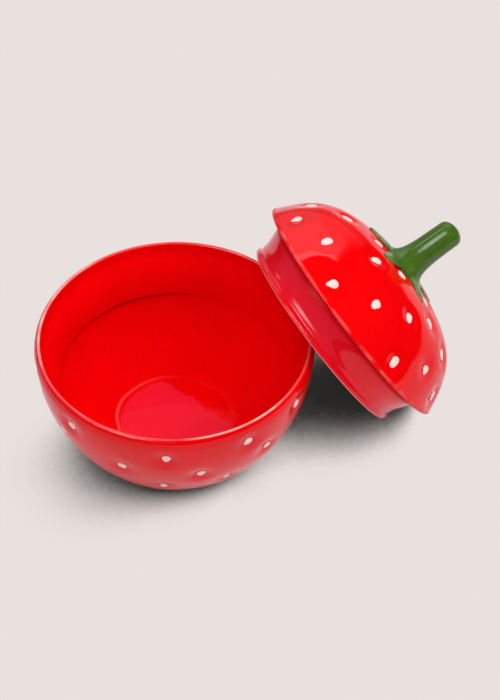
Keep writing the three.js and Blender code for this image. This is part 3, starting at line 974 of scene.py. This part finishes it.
class JAR_OT_stage(bpy.types.Operator):
    """Set the table, the lamps and the camera"""

    bl_idname = "jar.stage"
    bl_label = "Table, lamps and camera"

    def execute(self, context):
        self.table(context.scene)
        self.room(context.scene)
        for lamp in LAMPS:
            self.lamp(*lamp)
        self.camera(context.scene)
        return {"FINISHED"}

    def table(self, scene):
        """A wide round table, evenly pale beyond the jar's shadow."""
        rings = [0.5, 1, 1.5, 2, 3, 4, 6]
        piece = fresh("table", bpy.ops.mesh.primitive_circle_add, vertices=96, radius=rings[0], fill_type="NGON")
        bpy.ops.object.mode_set(mode="EDIT")
        for here, there in zip(rings, rings[1:]):
            pick(piece, lambda co: abs(co.to_2d().length - here) < MM)
            bpy.ops.mesh.extrude_edges_move()
            bpy.ops.transform.resize(value=(there / here, there / here, 1), center_override=(0, 0, 0))
        bpy.ops.object.mode_set(mode="OBJECT")
        material, start = blank_material("table")
        colours = scene.jar_colours
        spot = place_in(start, None)
        centred = start.node("ShaderNodeVectorMath", {"operation": "SUBTRACT"}, {0: spot, 1: MIDDLE})
        reach = reach_of(centred)
        camera, glossy, through = (start.is_ray(kind) for kind in ("Camera", "Glossy", "Transmission"))
        left, right = (self.open_air(start, *side) for side in SIDES)
        lit = start.node("ShaderNodeBsdfDiffuse", {}, {"Color": (*colours.table_lit, 1)})
        edge = (1 - camera) * reach.ramp(0.36, 0.5) * (1 - self.sweep(centred.turn()) * 0.25)
        tone = edge.mix(camera.mix(colours.table_near, colours.table), colours.table_far)
        tone = (left + right).ramp(*SHADOW).mix(tone, colours.table_shade)
        plain = start.node("ShaderNodeEmission", {}, {"Color": tone, "Strength": 1.0})
        far = start.sum("MINIMUM", camera + glossy + through, 1.0)
        surface = start.node("ShaderNodeMixShader", {}, {0: far, 1: lit, 2: plain})
        start.node("ShaderNodeOutputMaterial", {}, {"Surface": surface})
        piece.data.materials.append(material)

    def open_air(self, start, reach, way, share):
        """How much of one side of the room a place on the table sees past the jar, by its share."""
        way = start.node("ShaderNodeCombineXYZ", {}, dict(enumerate(way)))
        values = {"Distance": reach, "Normal": way}
        return start.node("ShaderNodeAmbientOcclusion", {"samples": 24}, values, "AO") * share

    def sweep(self, turn):
        """Where the pale backdrop runs up behind the jar, by the turn of a direction from the back."""
        return turn.between(-17, -8, 44, 58)

    def room(self, scene):
        """A soft room light, and the lit backdrop and the panels at the left that the glaze reflects."""
        world = scene.world or bpy.data.worlds.new("studio")
        scene.world = world
        world.use_nodes = True
        world.node_tree.nodes.clear()
        air = Shade(world.node_tree)
        ray = air.node("ShaderNodeTexCoord", {}, {}, "Generated")
        turn, height = ray.turn(), air.sum("ARCSINE", ray.part(2), 0.0) * DEGREES
        sweep = 0.42 + height.ramp(4, 46) * 0.75 + height.ramp(52, 57) * 1.6
        sweep = sweep * height.ramp(61, 58.5) * self.sweep(turn)
        panel = self.panel(turn, height, (-108, 38, 12), (47, 22, 7)) * 9
        strip = self.panel(turn, height, (-36, 9, 3), (38, 22, 10)) * 3.5
        wall = self.panel(turn, height, (-95, 75, 45), (0, 45, 25)) * 0.45
        black, brightest = (0, 0, 0), 12
        glow = (sweep + panel + strip + 0.02) * (1 / brightest)
        shine = self.light(air, glow.mix(black, (1, 0.9, 0.99)), brightest)
        flush = self.light(air, wall.mix(black, (1, 0.5, 1)))
        shine = air.node("ShaderNodeAddShader", {}, {0: shine, 1: flush})
        dim = self.light(air, (1, 1, 1, 1), 0.32)
        pale = self.light(air, (*scene.jar_colours.table, 1))
        lit = air.node("ShaderNodeMixShader", {}, {0: air.is_ray("Glossy"), 1: dim, 2: shine})
        seen = air.node("ShaderNodeMixShader", {}, {0: air.is_ray("Camera"), 1: lit, 2: pale})
        air.node("ShaderNodeOutputWorld", {}, {"Surface": seen})

    def light(self, air, tint, strength=1.0):
        return air.node("ShaderNodeBackground", {}, {"Color": tint, "Strength": strength})

    def panel(self, turn, height, across, along):
        """A soft patch of light: its middle, and where it ends and is full to either side, in degrees."""
        return (turn - across[0]).size().ramp(*across[1:]) * (height - along[0]).size().ramp(*along[1:])

    def lamp(self, name, turn, height, away, wide, power):
        """A panel of light that faces the jar, by its turn from the back and its height, in degrees."""
        turn, height = math.radians(turn), math.radians(height)
        middle = MIDDLE + Vector((0, 0, 50 * MM))
        out = Vector((math.sin(turn) * math.cos(height), math.cos(turn) * math.cos(height), math.sin(height)))
        bpy.ops.object.light_add(type="AREA", location=middle + out * away)
        lamp = bpy.context.object
        lamp.name = lamp.data.name = name
        lamp.rotation_euler = out.to_track_quat("Z", "Y").to_euler()
        lamp.data.shape, lamp.data.size, lamp.data.energy = "SQUARE", wide, power
        lamp.visible_glossy = False

    def camera(self, scene):
        look = Vector((*(part * math.cos(VIEW_DOWN) for part in VIEW_WAY), -math.sin(VIEW_DOWN)))
        bpy.ops.object.camera_add(location=VIEW_PLACE)
        camera = bpy.context.object
        camera.name = "photo view"
        camera.rotation_euler = look.to_track_quat("-Z", "Y").to_euler()
        camera.data.sensor_width, camera.data.lens = SENSOR, SENSOR * VIEW_FOCAL
        scene.camera = camera
        scene.view_settings.view_transform = "Standard"


class VIEW3D_PT_jar(bpy.types.Panel):
    bl_label = "Strawberry Jar"
    bl_space_type = "VIEW_3D"
    bl_region_type = "UI"
    bl_category = "Jar"

    def draw(self, context):
        for operator in OPERATORS:
            self.layout.operator(operator.bl_idname)
        for group in GROUPS:
            column = self.layout.column(align=True)
            sizes = getattr(context.scene, group)
            for key in GROUPS[group].__annotations__:
                column.prop(sizes, key)


GROUPS = {
    "jar_bowl": BowlSizes,
    "jar_lid": LidSizes,
    "jar_stem": StemSizes,
    "jar_seeds": SeedSizes,
    "jar_colours": GlazeColours,
}
OPERATORS = (JAR_OT_stage, JAR_OT_bowl, JAR_OT_lid, JAR_OT_stem, JAR_OT_seeds)
CLASSES = (*GROUPS.values(), *OPERATORS, VIEW3D_PT_jar)


def register():
    for each in CLASSES:
        bpy.utils.register_class(each)
    for name, group in GROUPS.items():
        setattr(bpy.types.Scene, name, PointerProperty(type=group))


def unregister():
    for name in GROUPS:
        delattr(bpy.types.Scene, name)
    for each in reversed(CLASSES):
        bpy.utils.unregister_class(each)


def main():
    register()
    bpy.ops.jar.stage()
    bpy.ops.jar.bowl()
    bpy.ops.jar.lid()
    bpy.ops.jar.stem()
    bpy.ops.jar.seeds()


if __name__ == "__main__":
    main()
